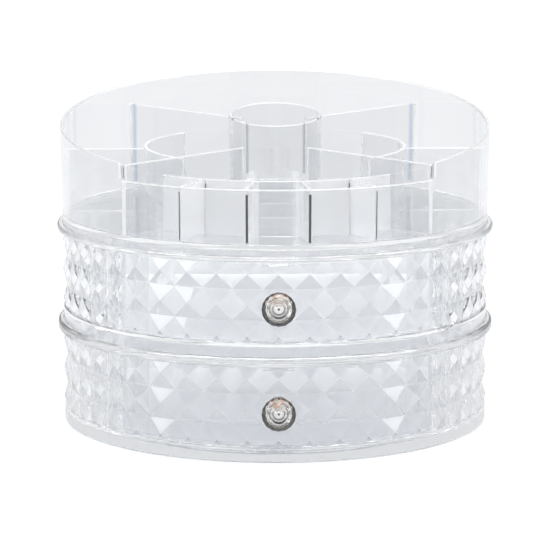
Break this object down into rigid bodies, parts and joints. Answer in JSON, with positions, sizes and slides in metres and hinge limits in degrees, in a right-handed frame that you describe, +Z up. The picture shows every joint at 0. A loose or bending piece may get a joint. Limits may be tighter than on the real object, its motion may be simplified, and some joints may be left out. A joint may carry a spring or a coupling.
{
  "type": "rotating makeup organizer with drawers",
  "caption": "Round clear-plastic vanity organizer: faceted tiers with curved drawers and crystal knobs under an open divided tray with a brush tube, all turning on a ball-bearing base.",
  "frame": {"origin": "on the table, under the turning axis, at the bottom of the centre foot pad", "axes": "+Z up along the turning axis, drawers open towards -Y, +X to the right seen from the front"},
  "size_m": [0.2566, 0.2683, 0.1937],
  "materials": {
    "clear_plastic": "clear polished",
    "crystal": "clear cut and polished",
    "knob_metal": "bright plated",
    "steel": "satin",
    "pads": "translucent soft",
    "balls": "clear polished",
    "nylon": "natural"
  },
  "bodies": {
    "base": {"base_disc": "clear_plastic", "foot_pads": "pads", "bearing_balls": "balls", "ball_cage": "clear_plastic", "pivot_washer": "nylon", "pivot_screw": "steel"},
    "carousel": {"lower_casing": "clear_plastic", "lower_deck": "clear_plastic", "upper_casing": "clear_plastic", "upper_deck": "clear_plastic", "tray_shell": "clear_plastic", "left_divider": "clear_plastic", "right_divider": "clear_plastic", "front_rack": "clear_plastic", "brush_tube": "clear_plastic", "pivot_bush": "nylon"},
    "lower_drawer": {"lower_drawer_front": "clear_plastic", "lower_drawer_box": "clear_plastic", "lower_knob_crystal": "crystal", "lower_knob_ferrule": "knob_metal", "lower_knob_washer": "nylon", "lower_knob_screw": "steel"},
    "upper_drawer": {"upper_drawer_front": "clear_plastic", "upper_drawer_box": "clear_plastic", "upper_knob_crystal": "crystal", "upper_knob_ferrule": "knob_metal", "upper_knob_washer": "nylon", "upper_knob_screw": "steel"}
  },
  "joints": [
    {"name": "carousel_turn", "type": "hinge", "parent": "base", "child": "carousel", "pos_m": [0, 0, 0], "axis": [0, 0, 1], "continuous": true},
    {"name": "lower_drawer_slide", "type": "slide", "parent": "carousel", "child": "lower_drawer", "axis": [0, -1, 0], "range_m": [0, 0.11]},
    {"name": "upper_drawer_slide", "type": "slide", "parent": "carousel", "child": "upper_drawer", "axis": [0, -1, 0], "range_m": [0, 0.11]}
  ]
}
